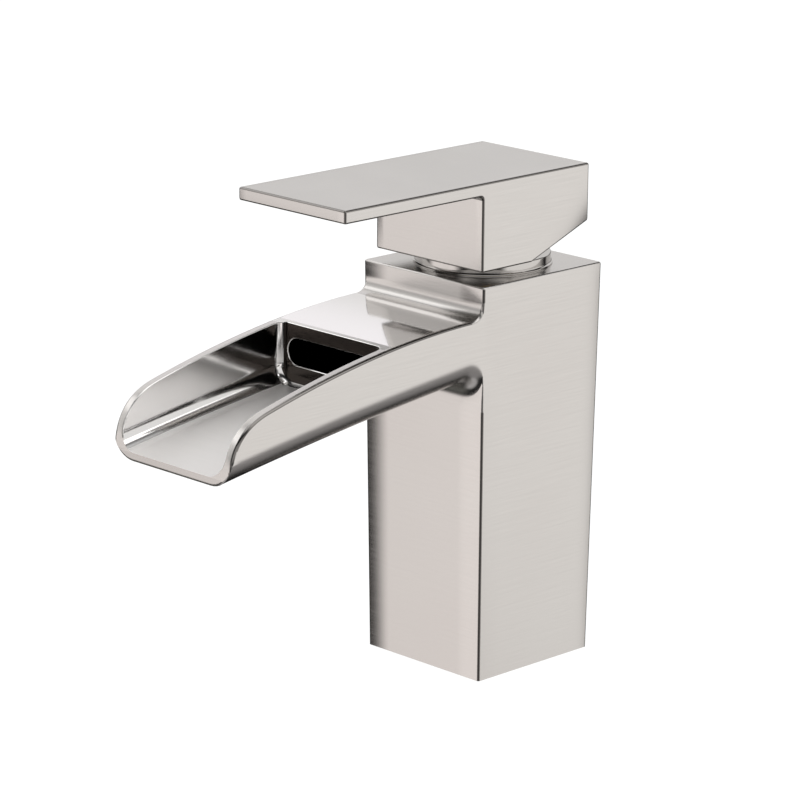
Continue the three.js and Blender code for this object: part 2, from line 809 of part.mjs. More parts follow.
// The collar hides the nut: a short ring with a flared foot and a thin cap.
function collarSolid() {
  const foot = collarRadius + collarFlare;
  const flare = spaced(0, Math.PI / 2, 4).map((angle) => [
    foot - collarFlare * Math.sin(angle),
    collarBottom + collarEdge + collarFlare * (1 - Math.cos(angle)),
  ]);
  return revolve([
    [collarInside, collarBottom],
    [foot, collarBottom],
    ...flare,
    [collarRadius, collarTop - collarEdge],
    [collarRadius - collarEdge, collarTop],
    [nutBore, collarTop],
    [nutBore, collarTop - collarCap],
    [collarInside, collarTop - collarCap],
  ]);
}

// ---------------------------------------------------------------------------
// Handle, set screw and plug
// ---------------------------------------------------------------------------

// A round bar along Y, between two places behind the axis.
function reachBar(radius, front, rear, segments = PLAIN) {
  const geometry = new THREE.CylinderGeometry(radius, radius, rear - front, segments);
  return solid(geometry.translate(0, (front + rear) / 2, screwLevel));
}

const reliefRise = (handleRear + reliefStart) * Math.tan(THREE.MathUtils.degToRad(reliefAngle));
const blockFront = handleRear - blockLength;
const plateFront = handleRear - plateLength;

// The blade and the block in one side view, with the relief cut at the lower rear.
function handleSideView() {
  return outline([
    [plateFront, blockTop, handleEdge],
    [blockFront, blockTop, plateFillet],
    [blockFront, blockBottom, handleEdge],
    [-reliefStart, blockBottom],
    [handleRear, blockBottom + reliefRise, handleEdge],
    [handleRear, handleTop, handleEdge],
    [plateFront, handleTop, handleEdge],
  ]);
}

// The casting is hollow below. A boss in the hollow holds the stem, and a rib the set screw.
function handleSolid() {
  const casting = sideways(handleSideView(), handleWidth, handleSideEdge, 2);
  const side = handleWidth / 2 - handleWall;
  const front = blockFront + handleWall;
  const rear = handleRear - handleWall;
  const ceiling = blockBottom + pocketCeiling;
  const pocketPlan = outline(rectangle(-side, side, front, rear, pocketRound));
  const pocket = raise(pocketPlan, blockBottom - OVER, ceiling);
  const bossHalf = bossSide / 2;
  const bossPlan = outline(rectangle(-bossHalf, bossHalf, -bossHalf, bossHalf, bossRound));
  const boss = raise(bossPlan, bossBottom, ceiling + OVER);
  const ribHalf = screwRadius + handleWall / 2;
  const ribLow = screwLevel - ribHalf;
  const rib = block([-ribHalf, ribHalf], [0, rear + OVER], [ribLow, ceiling + OVER]);
  const socketHalf = stemSide / 2 + slipGap;
  const socketSpan = [-socketHalf, socketHalf];
  return cutAll(
    joinAll(casting.subtract(pocket), boss, rib),
    block(socketSpan, socketSpan, [bossBottom - OVER, socketTop]),
    reachBar(screwRadius + slipGap, 0, handleRear + OVER, TINY),
    reachBar(plugRadius + slipGap, handleRear - plugLength - seatGap, handleRear + OVER),
  );
}

const screwFront = stemSide / 2 + seatGap;

// A grub screw with a chamfered tip and a hexagon socket at the rear.
function setScrewSolid() {
  const rear = screwFront + screwLength;
  const shank = reachBar(screwRadius, screwFront + screwPoint, rear, TINY);
  const point = new THREE.CylinderGeometry(screwRadius, screwRadius - screwPoint, screwPoint, TINY);
  point.translate(0, screwFront + screwPoint / 2, screwLevel);
  const hexagon = reachBar(screwHexSide, rear - screwHexDepth, rear + OVER, 6);
  return shank.add(solid(point)).subtract(hexagon);
}

function plugSolid() {
  return reachBar(plugRadius, handleRear - plugLength, handleRear);
}

// ---------------------------------------------------------------------------
// Assembly
// ---------------------------------------------------------------------------

const mixer = new THREE.Group();

// A group that turns or slides about a place, with the pieces that go with it.
function bodyAt(parent, height) {
  const group = new THREE.Group();
  group.position.set(0, 0, height);
  parent.add(group);
  return group;
}

// Adds one piece to a group. Its solid is given in the faucet's own frame.
function addPiece(group, name, body, makeMaterial) {
  const geometry = geometryOf(body).translate(0, 0, -group.position.z);
  const mesh = new THREE.Mesh(geometry, makeMaterial());
  mesh.name = name;
  group.add(mesh);
}

const fixed = bodyAt(mixer, 0);
addPiece(fixed, "faucet_body", bodySolid(), brushedNickel);
addPiece(fixed, "foot_gasket", gasketSolid(), rubber);
addPiece(fixed, "cartridge_base", baseSolid(), greyPlastic);
addPiece(fixed, "cold_port_seal", portSealSolid(inletX), rubber);
addPiece(fixed, "hot_port_seal", portSealSolid(-inletX), rubber);
addPiece(fixed, "disc_seal", discSealSolid(), rubber);
addPiece(fixed, "fixed_ceramic_disc", fixedDiscSolid(), ceramic);
addPiece(fixed, "cartridge_housing", housingSolid(), acetal);
addPiece(fixed, "housing_o_ring", housingRingSolid(), rubber);
addPiece(fixed, "hot_limit_ring", limitRingSolid(), redPlastic);
addPiece(fixed, "retaining_nut", nutSolid(), rawBrass);
addPiece(fixed, "collar_o_ring", collarRingSolid(), rubber);
addPiece(fixed, "trim_collar", collarSolid(), polishedNickel);

const swivel = bodyAt(mixer, 0);
addPiece(swivel, "spindle", spindleSolid(), acetal);
addPiece(swivel, "pivot_pin", pinSolid(), steel);

const slider = bodyAt(mixer, 0);
addPiece(slider, "moving_ceramic_disc", movingDiscSolid(), ceramic);
addPiece(slider, "disc_carrier", carrierSolid(), greyPlastic);

const lever = bodyAt(mixer, pivotHeight);
addPiece(lever, "lever_stem", stemSolid(), rawBrass);
addPiece(lever, "handle", handleSolid(), brushedNickel);
addPiece(lever, "set_screw", setScrewSolid(), steel);
addPiece(lever, "handle_plug", plugSolid(), brushedNickel);

export default mixer;
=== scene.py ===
# A single-lever basin mixer with an open waterfall spout. The visible castings are modelled here,
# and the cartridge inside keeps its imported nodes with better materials. Lengths are in metres.
from math import cos, hypot, pi, radians, sin, tan

import bpy
from mathutils import Euler, Matrix, Vector


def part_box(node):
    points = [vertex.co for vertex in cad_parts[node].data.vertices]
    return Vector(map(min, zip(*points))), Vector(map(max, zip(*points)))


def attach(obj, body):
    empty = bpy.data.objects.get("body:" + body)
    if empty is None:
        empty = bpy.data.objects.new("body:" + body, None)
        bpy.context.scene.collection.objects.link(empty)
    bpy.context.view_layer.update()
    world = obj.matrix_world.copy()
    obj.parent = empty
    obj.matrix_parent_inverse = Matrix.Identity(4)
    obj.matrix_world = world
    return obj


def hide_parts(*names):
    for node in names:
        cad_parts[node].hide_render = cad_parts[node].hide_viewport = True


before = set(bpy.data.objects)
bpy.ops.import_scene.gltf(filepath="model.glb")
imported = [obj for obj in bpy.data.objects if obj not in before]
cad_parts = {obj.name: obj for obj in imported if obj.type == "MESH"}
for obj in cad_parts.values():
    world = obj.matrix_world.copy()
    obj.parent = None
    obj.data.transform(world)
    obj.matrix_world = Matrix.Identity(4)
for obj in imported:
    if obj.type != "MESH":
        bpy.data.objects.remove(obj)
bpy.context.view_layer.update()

# ---------------------------------------------------------------------------
# Camera
# A long lens a metre away, to the right of the spout, that looks down on the lever.
# ---------------------------------------------------------------------------

turned_left, tipped_down, rolled = 45.55, 15.33, 0.47  # degrees
view = bpy.data.objects.new("view", bpy.data.cameras.new("view"))
view.data.sensor_width = 36
view.data.lens = 167.66
heading = Euler((radians(90 - tipped_down), 0, radians(turned_left))).to_matrix()
view.matrix_world = (heading @ Matrix.Rotation(radians(rolled), 3, "Z")).to_4x4()
view.location = (0.68485, -0.70275, 0.3394)
bpy.context.scene.collection.objects.link(view)
bpy.context.scene.camera = view

# ---------------------------------------------------------------------------
# Studio
# A pale paper floor that runs out of sight, and soft light panels in a room that is otherwise
# nearly black, so that polished metal shows dark lines along its edges. No part of the faucet.
# ---------------------------------------------------------------------------


def linear(hex_colour):
    """An sRGB hex colour as linear red, green, blue and alpha."""
    channels = [int(hex_colour[i : i + 2], 16) / 255 for i in (1, 3, 5)]
    return [c / 12.92 if c <= 0.04045 else ((c + 0.055) / 1.055) ** 2.4 for c in channels] + [1]


def add_node(tree, kind, settings=None, **sockets):
    """Adds a shader node. A socket, by name or as _number, takes a value or an output to link."""
    node = tree.nodes.new("ShaderNode" + kind)
    for name, value in (settings or {}).items():
        setattr(node, name, value)
    for name, value in sockets.items():
        label = int(name[1:]) if name[0] == "_" else name.replace("_", " ")
        found = node.inputs[label]
        if isinstance(value, bpy.types.NodeSocket):
            tree.links.new(value, found)
        else:
            found.default_value = value
    return node


scene = bpy.context.scene
scene.view_settings.view_transform = "Standard"

studio = bpy.data.worlds.new("studio")
studio.use_nodes = True
scene.world = studio
tree = studio.node_tree
tree.nodes.clear()
direction = add_node(tree, "TexCoord").outputs["Generated"]


def panel(lit, turn, rise, half_width, half_height, side_soft, level_soft, glow):
    """Adds a soft-edged light panel to the room, placed and sized in degrees round the faucet."""
    faced = add_node(
        tree, "VectorRotate", {"rotation_type": "Z_AXIS"}, Vector=direction, Angle=radians(-turn)
    )
    part = add_node(tree, "SeparateXYZ", Vector=faced.outputs[0])
    sideways = add_node(
        tree, "Math", {"operation": "ARCTAN2"}, _0=part.outputs["Y"], _1=part.outputs["X"]
    )
    level = add_node(tree, "Math", {"operation": "ARCSINE"}, _0=part.outputs["Z"])
    above = add_node(tree, "Math", {"operation": "SUBTRACT"}, _0=level.outputs[0], _1=radians(rise))
    share = 1.0
    for angle, half, soft in ((sideways, half_width, side_soft), (above, half_height, level_soft)):
        away = add_node(tree, "Math", {"operation": "ABSOLUTE"}, _0=angle.outputs[0])
        within = add_node(
            tree,
            "MapRange",
            {"interpolation_type": "SMOOTHSTEP"},
            Value=away.outputs[0],
            From_Min=radians(half - soft / 2),
            From_Max=radians(half + soft / 2),
            To_Min=1.0,
            To_Max=0.0,
        ).outputs[0]
        share = add_node(tree, "Math", {"operation": "MULTIPLY"}, _0=within, _1=share).outputs[0]
    lighten = {"data_type": "RGBA", "blend_type": "ADD"}
    return add_node(tree, "Mix", lighten, Factor=share, _6=lit, _7=(*glow, 1)).outputs["Result"]


# Level direction, height, half width, half height and the two soft edges in degrees, and the glow.
# The spout points to -90. Between the panels the room stays nearly black.
light = (0.01, 0.01, 0.01, 1)
for place in (
    (-117, -15, 28, 19, 20, 10, (1.2, 1.14, 1.12)),  # the fronts of column and block, and the lip
    (-151, 18, 18, 16, 8, 12, (0.95, 0.94, 0.93)),  # the neck's fillet and the deck next to it
    (32, -5, 42, 21, 18, 12, (1.1, 1.08, 1.06)),  # the right side of all of it
    (35, -45, 45, 19, 50, 12, (0.3, 0.29, 0.29)),  # the round under the spout's side
    (36, 29, 30, 13, 8, 12, (0.72, 0.71, 0.7)),  # the trough's left wall, low down
    (24, 52, 30, 10, 8, 8, (1.75, 1.72, 1.7)),  # the rest of that wall
    (0, 90, 200, 24, 8, 16, (1.3, 1.29, 1.28)),  # the trough's floor, from overhead
    (141, 20, 51, 16, 8, 8, (0.8, 0.79, 0.78)),  # the tops of lever and column, and the deck
    (148, 28, 40, 9, 10, 10, (0.2, 0.19, 0.22)),  # a little more on the deck
    (145, 50, 35, 14, 8, 8, (1.0, 0.99, 0.98)),  # the trough's floor towards the lip
    (-155, 40, 22, 8, 8, 8, (1.55, 1.54, 1.54)),  # glints on the neck's fillet and the nose
    (-45, 24, 38, 16, 20, 10, (0.7, 0.69, 0.68)),  # the collar, and tops seen from behind
    (175, -45, 35, 16, 30, 16, (0.12, 0.12, 0.11)),  # the fillet under the spout
    (0, -90, 200, 24, 8, 12, (0.55, 0.54, 0.54)),  # the same fillet, from below
    (137, -9, 16, 11, 16, 8, (0.5, 0.49, 0.48)),  # upright faces seen from the other corners
    (-47, -13, 14, 13, 16, 10, (0.26, 0.25, 0.25)),  # the same, fainter
):
    light = panel(light, *place)
seen = add_node(tree, "LightPath").outputs["Is Camera Ray"]
white = (1, 1, 1, 1)
shade = add_node(tree, "Mix", {"data_type": "RGBA"}, Factor=seen, _6=light, _7=white)
backdrop = add_node(tree, "Background", Color=shade.outputs["Result"], Strength=1.0)
add_node(tree, "OutputWorld", Surface=backdrop.outputs[0])

bpy.ops.object.select_all(action="DESELECT")
bpy.ops.mesh.primitive_plane_add(size=8)
floor = bpy.context.object
floor.name = "studio_floor"
floor.visible_glossy = False
floor.visible_shadow = False
paper = bpy.data.materials.new("white_paper_sweep")
paper.use_nodes = True
tree = paper.node_tree
tree.nodes.clear()
# The paper takes the object's soft shadow, and glows enough to stay white round it.
matt = add_node(tree, "BsdfDiffuse", Color=linear("#f2f2f2"))
glare = add_node(tree, "Emission", Color=white, Strength=1.15)
glare_share = 0.85
seen = add_node(tree, "LightPath").outputs["Is Camera Ray"]
share = add_node(tree, "Math", {"operation": "MULTIPLY"}, _0=seen, _1=glare_share).outputs[0]
surface = add_node(tree, "MixShader", _0=share, _1=matt.outputs[0], _2=glare.outputs[0])
add_node(tree, "OutputMaterial", Surface=surface.outputs[0])
floor.data.materials.append(paper)

# ---------------------------------------------------------------------------
# Faucet body
# Column and spout are one brass casting, nickel-plated. The column is a square post that narrows to
# the foot; the spout is an open trough cut into a bar that droops to a thin lip.
# ---------------------------------------------------------------------------

mm = 0.001
column_height, top_side, foot_side = 109.85 * mm, 45.39 * mm, 42.6 * mm
corner_round, soft_strip = 0.6 * mm, 8 * mm
spout_half, reach = 22.5 * mm, 112 * mm
bottom_round, rim_round, lip_round, inner_round = 7.5 * mm, 1.0 * mm, 0.8 * mm, 0.3 * mm
root_height, root_fall, lip_fall = 83.7 * mm, 0.0945, 0.164
neck_round, under_round, root_draft = 4 * mm, 6 * mm, 0.3 * mm
deck_root = column_height - 8.6 * mm
neck_top, spout_foot = deck_root + neck_round, root_height - under_round
trough_back, trough_wall, floor_skin = 56 * mm, 2.8 * mm, 2.4 * mm
wall_lean, floor_cove, rear_cove = 1.0, 5.5 * mm, 2.75 * mm
slot_half, slot_back, slot_low, slot_high = 17 * mm, -19.4 * mm, 87.7 * mm, 95.1 * mm
seat = 70 * mm
# Edges and faces are found by their place to within near, and cutting tools stand clear by spare.
near, spare = 0.01 * mm, 1 * mm

# Belt-brushed outside, which leaves level hairlines and a soft sheen, and buffed bright where the
# water runs. Real hairlines are 0.05 mm apart; these are 0.35 mm, the finest that shows.
HAIRLINE = 1 / (0.35 * mm)
HAIRLINE_RUN = 1 / (18 * mm)
DRIFT = 28.0  # about one patch in the width of the column


def start_material(name):
    """A new material's empty tree, and the place on the piece that its patterns follow."""
    material = bpy.data.materials.new(name)
    material.use_nodes = True
    material.node_tree.nodes.clear()
    return material, material.node_tree, add_node(material.node_tree, "TexCoord").outputs["Object"]


def blend(tree, share, one, other):
    """A colour that runs from one sRGB hex value to another."""
    one, other = linear(one), linear(other)
    mixed = add_node(tree, "Mix", {"data_type": "RGBA"}, Factor=share, _6=one, _7=other)
    return mixed.outputs["Result"]


def nickel(name, tone, warm_tone, roughness, spread, depth):
    """Plated metal: a warm grey with a faint drift, hairlines in its tone, gloss and surface."""
    material, tree, place = start_material(name)
    drift = add_node(tree, "TexNoise", Vector=place, Scale=DRIFT, Detail=2.0, Roughness=0.4)
    blended = blend(tree, drift.outputs["Fac"], tone, warm_tone)
    run = (HAIRLINE_RUN, HAIRLINE_RUN, HAIRLINE)
    stretched = add_node(tree, "Mapping", Vector=place, Scale=run).outputs[0]
    hairs = add_node(tree, "TexNoise", Vector=stretched, Scale=1.0, Detail=3.0, Roughness=0.6)
    lines = hairs.outputs["Fac"]
    shade = add_node(
        tree,
        "MapRange",
        Value=lines,
        From_Min=0.35,
        From_Max=0.65,
        To_Min=1.0 - 0.2 * depth,
        To_Max=1.0,
    ).outputs[0]
    darken = {"data_type": "RGBA", "blend_type": "MULTIPLY"}
    colour = add_node(tree, "Mix", darken, Factor=1.0, _6=blended, _7=shade).outputs["Result"]
    gloss = add_node(
        tree,
        "MapRange",
        Value=lines,
        From_Min=0.3,
        From_Max=0.7,
        To_Min=roughness - spread,
        To_Max=roughness + spread,
    ).outputs[0]
    grain = add_node(tree, "Bump", Height=lines, Strength=depth, Distance=0.02 * mm).outputs[0]
    metal = add_node(
        tree, "BsdfPrincipled", Base_Color=colour, Metallic=1.0, Roughness=gloss, Normal=grain
    )
    add_node(tree, "OutputMaterial", Surface=metal.outputs[0])
    return material


brushed_nickel = nickel("brushed_nickel_plate", "#d1cfcc", "#cdc9c6", 0.24, 0.03, 0.28)
polished_nickel = nickel("polished_nickel_plate", "#f1efee", "#edebea", 0.09, 0.02, 0.05)
# The trough's walls are buffed and its floor is satin. Its rear wall and the slot get a near-black
# plate, painted shade for that recess. Along the edges a darker plate paints in dark reflections.
buffed_nickel = nickel("buffed_nickel_plate", "#fdfcfb", "#f9f8f7", 0.13, 0.02, 0.05)
painted_edge_lines_nickel = nickel("nickel_edge_painted_dark_lines", "#8f8c89", "#868380", 0.14, 0.02, 0.05)
painted_shade_nickel = nickel("nickel_plate_painted_shade", "#49433f", "#332f2c", 0.2, 0.04, 0.1)
satin_nickel = nickel("satin_nickel_plate", "#f8f7f6", "#efedeb", 0.55, 0.03, 0.1)


def column_half(z):
    return (foot_side + (top_side - foot_side) * z / column_height) / 2


def underside(y):
    """Height of the spout's underside, a shallow arch that steepens towards the lip."""
    out = y + column_half(root_height)
    bend = (lip_fall - root_fall) / (2 * (reach - column_half(root_height)))
    return root_height + root_fall * out - bend * out * out


def placed(name):
    """Names the new primitive, and moves its place and turn into its mesh."""
    bpy.ops.object.transform_apply(location=True, rotation=True, scale=True)
    bpy.context.object.name = name
    return bpy.context.object


def start_box(name, low, high):
    """A box between two corners."""
    bpy.ops.object.select_all(action="DESELECT")
    middle = [(a + b) / 2 for a, b in zip(low, high)]
    size = [b - a for a, b in zip(low, high)]
    bpy.ops.mesh.primitive_cube_add(size=1, location=middle, scale=size)
    return placed(name)


def start_round(name, radius, low, high, x=0, y=0, sides=96):
    """An upright cylinder."""
    bpy.ops.object.select_all(action="DESELECT")
    bpy.ops.mesh.primitive_cylinder_add(
        vertices=sides, radius=radius, depth=high - low, location=(x, y, (low + high) / 2)
    )
    return placed(name)


def anywhere(at, way):
    return True


def pick(piece, kind, wanted):
    """Opens a piece in edit mode, with what passes by its middle and direction selected."""
    bpy.ops.object.select_all(action="DESELECT")
    bpy.context.view_layer.objects.active = piece
    piece.select_set(True)
    bpy.ops.object.mode_set(mode="EDIT")
    bpy.ops.mesh.select_mode(type=kind)
    bpy.ops.mesh.select_all(action="DESELECT")
    bpy.ops.object.mode_set(mode="OBJECT")
    points = piece.data.vertices
    if kind == "VERT":
        for point in points:
            point.select = wanted(point.co, point.normal)
    elif kind == "EDGE":
        for edge in piece.data.edges:
            a, b = (points[i].co for i in edge.vertices)
            edge.select = wanted((a + b) / 2, b - a)
    else:
        for face in piece.data.polygons:
            face.select = wanted(face.center, face.normal)
    bpy.ops.object.mode_set(mode="EDIT")


def done():
    bpy.ops.object.mode_set(mode="OBJECT")


def widen(across, along_reach=1):
    """Scales what is selected about the column's axis."""
    bpy.ops.transform.resize(value=(across, along_reach, 1), center_override=(0, 0, 0))


def split(piece, place, away):
    """Adds edges all round a piece where a plane crosses it."""
    pick(piece, "FACE", anywhere)
    bpy.ops.mesh.bisect(plane_co=place, plane_no=away)
    done()


def round_edges(piece, radius, steps, wanted):
    """Rounds the chosen edges of a piece."""
    pick(piece, "EDGE", wanted)
    bpy.ops.mesh.bevel(
        offset=radius,
        segments=steps,
        profile=0.5,
        affect="EDGES",
        clamp_overlap=False,
        material=-1,
    )
    done()


def draw_out(piece, wanted, path, widths=None):
    """Extrudes the chosen end face along a path of (y, z) places, and widens it as it goes."""
    pick(piece, "FACE", wanted)
    for i in range(1, len(path)):
        step = (0, path[i][0] - path[i - 1][0], path[i][1] - path[i - 1][1])
        bpy.ops.mesh.extrude_region_move(TRANSFORM_OT_translate={"value": step})
        if widths and widths[i] != widths[i - 1]:
            widen(widths[i] / widths[i - 1])
    done()


def combine(piece, tool, operation="DIFFERENCE"):
    """Cuts a tool out of a piece, or joins or crosses them, and removes the tool."""
    bpy.ops.object.select_all(action="DESELECT")
    bpy.context.view_layer.objects.active = piece
    piece.select_set(True)
    boolean = piece.modifiers.new("boolean", "BOOLEAN")
    boolean.operation, boolean.object, boolean.solver = operation, tool, "EXACT"
    bpy.ops.object.modifier_apply(modifier=boolean.name)
    bpy.data.objects.remove(tool)


def spaced(start, end, count):
    return [start + (end - start) * i / count for i in range(count + 1)]


def along(points, count):
    """Places along a Bezier curve through (y, z) control points, without its first."""
    places = []
    for t in spaced(0, 1, count)[1:]:
        row = list(points)
        while len(row) > 1:
            row = [tuple(p + (q - p) * t for p, q in zip(a, b)) for a, b in zip(row, row[1:])]
        places.append(row[0])
    return places


# The post, with softened upright edges and a crisp top. The strips beside its edges and the levels
# round the spout's root let the shading turn there and stay flat elsewhere.
body = start_box(
    "column_and_spout",
    (-top_side / 2, -top_side / 2, 0),
    (top_side / 2, top_side / 2, column_height),
)
pick(body, "FACE", lambda at, way: way.z < -0.9)
widen(foot_side / top_side, foot_side / top_side)
done()
for axis in ((1, 0, 0), (0, 1, 0)):
    for side in (-1, 1):
        away = Vector(axis) * side
        split(body, away * (foot_side / 2 - soft_strip), away)
for level in (neck_top + 0.4 * mm, spout_foot - 2 * mm):
    split(body, (0, 0, level), (0, 0, 1))


def on_upright_corner(at, way):
    return abs(way.z) > 1 * mm and min(abs(at.x), abs(at.y)) > foot_side / 2 - 1 * mm


def on_top_edge(at, way):
    return at.z > column_height - near and max(abs(at.x), abs(at.y)) > foot_side / 2


round_edges(body, corner_round, 2, on_upright_corner)
round_edges(body, corner_round, 4, on_top_edge)

# The bar under the trough: a round-bottomed section drawn out of the column along the underside.
# It leaves the column from just inside its front, so that the two join without a seam.
front = 0.03 * mm - column_half(spout_foot)
bar_end, bar_low = front + 8 * mm, spout_foot - 1 * mm
spout = start_box(
    "spout_bar",
    (-spout_half + root_draft, bar_end, bar_low),
    (spout_half - root_draft, front + 11 * mm, column_height + 40 * mm),
)
round_edges(spout, bottom_round, 10, lambda at, way: abs(way.y) > 1 * mm and at.z < root_height)
path = [(bar_end, bar_low), (front, underside(front) - under_round)]
for turn in spaced(0, pi / 2, 8)[1:]:
    y = front - under_round * (1 - cos(turn))
    path.append((y, underside(y) - under_round * (1 - sin(turn))))
path += [(y, underside(y)) for y in spaced(front - under_round, lip_round - reach, 26)[1:]]
for turn in spaced(0, pi / 2, 5)[1:]:
    rise = lip_round * (1 - cos(turn))
    path.append((-reach + lip_round * (1 - sin(turn)), underside(-reach) + rise))
path.append((-reach - spare, path[-1][1]))
widths = [spout_half - root_draft] + [spout_half] * (len(path) - 1)
draw_out(spout, lambda at, way: way.y < -0.9, path, widths)

# Its top line: the neck's fillet, the sloping deck and the nose.
neck_front = -column_half(deck_root)
neck = (neck_front - neck_round, deck_root)
nose = (-reach + 13 * mm, underside(-reach) + 18.2 * mm)
lip = (-reach, underside(-reach) + floor_skin)


def beyond(point, degrees, distance):
    """A point moved along a direction in the side view, in degrees above level."""
    turn = radians(degrees)
    return (point[0] + distance * cos(turn), point[1] + distance * sin(turn))


top_line = [(neck_front, neck_top)]
top_line += along([top_line[0], (neck_front, deck_root), neck], 10)
top_line += along([neck, beyond(neck, 181, 24 * mm), beyond(nose, 15, 24 * mm), nose], 26)
top_line += along([nose, beyond(nose, 195, 12.8 * mm), beyond(lip, 77.5, 3.4 * mm), lip], 26)
# The profile is a hair narrower than the bar, so that no two faces lie in one plane.
profile_half = spout_half - 0.002 * mm
profile = start_box(
    "spout_profile",
    (-profile_half, neck_front, 50 * mm),
    (profile_half, neck_front + 11.5 * mm, neck_top),
)
draw_out(profile, lambda at, way: way.y < -0.9, top_line)
for side in (-1, 1):
    pick(profile, "FACE", lambda at, way: way.x * side > 0.9)
    bpy.ops.mesh.dissolve_faces()
    done()


def on_outline(at, way):
    """True on the two long edges of the top line, and on the upright corners at the lip."""
    if abs(abs(at.x) - profile_half) >= 0.001 * mm or at.y >= neck_front + near:
        return False
    middles = [((a[0] + b[0]) / 2, (a[1] + b[1]) / 2) for a, b in zip(top_line, top_line[1:])]
    on_line = min(hypot(at.y - y, at.z - z) for y, z in middles) < near
    return on_line or (at.y < -reach + near and abs(way.z) > 20 * mm)


round_edges(profile, rim_round, 5, on_outline)
combine(spout, profile, "INTERSECT")
combine(body, spout, "UNION")

# The trough, with coved corners all round its rear wall. Its side walls lean in by a degree.
trough_half = spout_half - trough_wall
trough_start, tool_top = -trough_back - 8 * mm, column_height + 30 * mm
floor_places = spaced(trough_start, -reach - 2 * mm, 24)
trough_floor = [(y, underside(y) + floor_skin) for y in floor_places]
trough = start_box(
    "trough_tool",
    (-trough_half, trough_start, trough_floor[0][1]),
    (trough_half, -trough_back, tool_top),
)
pick(trough, "VERT", lambda at, way: at.z > column_height)
lean = (tool_top - trough_floor[0][1]) * tan(radians(wall_lean))
widen(1 - lean / trough_half)
done()
rise = underside(-trough_back) + floor_skin - trough_floor[0][1]
pick(trough, "VERT", lambda at, way: at.y > -trough_back - spare)
bpy.ops.transform.translate(value=(0, 0, rise))
done()


def on_rear_wall(at, way):
    """True on the edges round the trough's rear wall, apart from the tool's own top."""
    in_plane = abs(at.y + trough_back) < near and abs(way.y) < near
    return in_plane and at.z < tool_top - spare


round_edges(trough, floor_cove, 10, lambda at, way: abs(way.y) > 4 * mm and at.z < column_height)
draw_out(trough, lambda at, way: way.y < -0.9, trough_floor)
round_edges(trough, rear_cove, 6, on_rear_wall)
combine(body, trough)


def top_of_spout(y):
    """Height of the spout's top line."""
    a, b = next((a, b) for a, b in zip(top_line[1:], top_line[2:]) if b[0] <= y)
    return b[1] + (a[1] - b[1]) * (y - b[0]) / (a[0] - b[0])


def on_inner_edge(at, way):
    """True on the line where the trough's walls meet the rim, the deck and the nose."""
    if not -reach + 0.5 * mm < at.y < -trough_back + 0.05 * mm:
        return False
    if abs(at.z - top_of_spout(at.y)) > 0.06 * mm:
        return False
    inside = abs(at.x) < trough_half + 0.1 * mm
    return inside and abs(way.x) < 2 * mm or at.y > -trough_back - 0.05 * mm


round_edges(body, inner_round, 3, on_inner_edge)

# The outlet: a wide slot with round ends, its mouth softened. It stops 1.1 mm short of the well.
slot_round, slot_middle = (slot_high - slot_low) / 2, (slot_low + slot_high) / 2
slot = start_box(
    "slot_tool",
    (-slot_half, -trough_back - 3 * mm, slot_low),
    (slot_half, slot_back, slot_high),
)
round_edges(slot, slot_round - near, 10, lambda at, way: abs(way.y) > 10 * mm)
combine(body, slot)


def on_slot_mouth(at, way):
    """True on the slot's outline in the trough's rear wall."""
    past_straight = max(abs(at.x) - (slot_half - slot_round), 0)
    off_outline = abs(hypot(past_straight, at.z - slot_middle) - slot_round)
    return -trough_back - 0.6 * mm < at.y < -trough_back + near and off_outline < 0.06 * mm


round_edges(body, 0.4 * mm, 3, on_slot_mouth)

# The bore for the cartridge with its nut's thread, the well in front of it, and two peg holes.
bore_radius, thread_radius = 18.1 * mm, 18.6 * mm
thread_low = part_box("cartridge_housing")[1].z - 1 * mm
combine(body, start_round("bore_tool", bore_radius, seat, column_height + spare))
combine(body, start_round("thread_tool", thread_radius, thread_low, column_height + spare))
well_half, well_front, well_rear = 8 * mm, -18.3 * mm, -9 * mm
well = start_box("well_tool", (-well_half, well_front, seat), (well_half, well_rear, slot_high))
combine(body, well)
peg_radius, peg_depth, peg_place = 1.9 * mm, 2.2 * mm, 12 * mm
for x in (-peg_place, peg_place):
    combine(body, start_round("peg_tool", peg_radius, seat - peg_depth, seat + spare, x, 0, 32))

# The foot: a groove for the ring, two hose ports with their ways to the seat, and the stud's hole.
groove_outer, groove_inner, groove_depth = 18.75 * mm, 16.25 * mm, 1.95 * mm
groove = start_round("groove_tool", groove_outer, -spare, groove_depth)
combine(groove, start_round("groove_core", groove_inner, -2 * spare, groove_depth + spare))
combine(body, groove)
port_radius, port_depth, port_x, port_y = 4.5 * mm, 11 * mm, 7 * mm, 4 * mm
way_radius, way_low = 2.7 * mm, 5 * mm
for x in (-port_x, port_x):
    combine(body, start_round("port_tool", port_radius, -spare, port_depth, x, port_y, 64))
    combine(body, start_round("way_tool", way_radius, way_low, seat + spare, x, port_y, 48))
stud_radius, stud_depth, stud_y = 3.4 * mm, 18 * mm, -10.5 * mm
combine(body, start_round("stud_tool", stud_radius, -spare, stud_depth, 0, stud_y, 48))


def dress(piece, *materials, soft=None):
    """Gives a piece its materials and smooth shading. All but soft corners keep flat faces flat."""
    corners = piece.vertex_groups.new(name="soft_corners")
    if soft:
        softened = [point.index for point in piece.data.vertices if soft(point.co)]
        corners.add(softened, 1.0, "REPLACE")
    bpy.ops.object.select_all(action="DESELECT")
    bpy.context.view_layer.objects.active = piece
    piece.select_set(True)
    bpy.ops.object.shade_smooth_by_angle(angle=radians(47))
    weights = piece.modifiers.new("weights", "WEIGHTED_NORMAL")
    weights.keep_sharp = True
    weights.vertex_group, weights.invert_vertex_group = corners.name, True
    bpy.ops.object.modifier_apply(modifier=weights.name)
    piece.vertex_groups.clear()
    for i, material in enumerate(materials):
        if i < len(piece.data.materials):
            piece.data.materials[i] = material
        else:
            piece.data.materials.append(material)


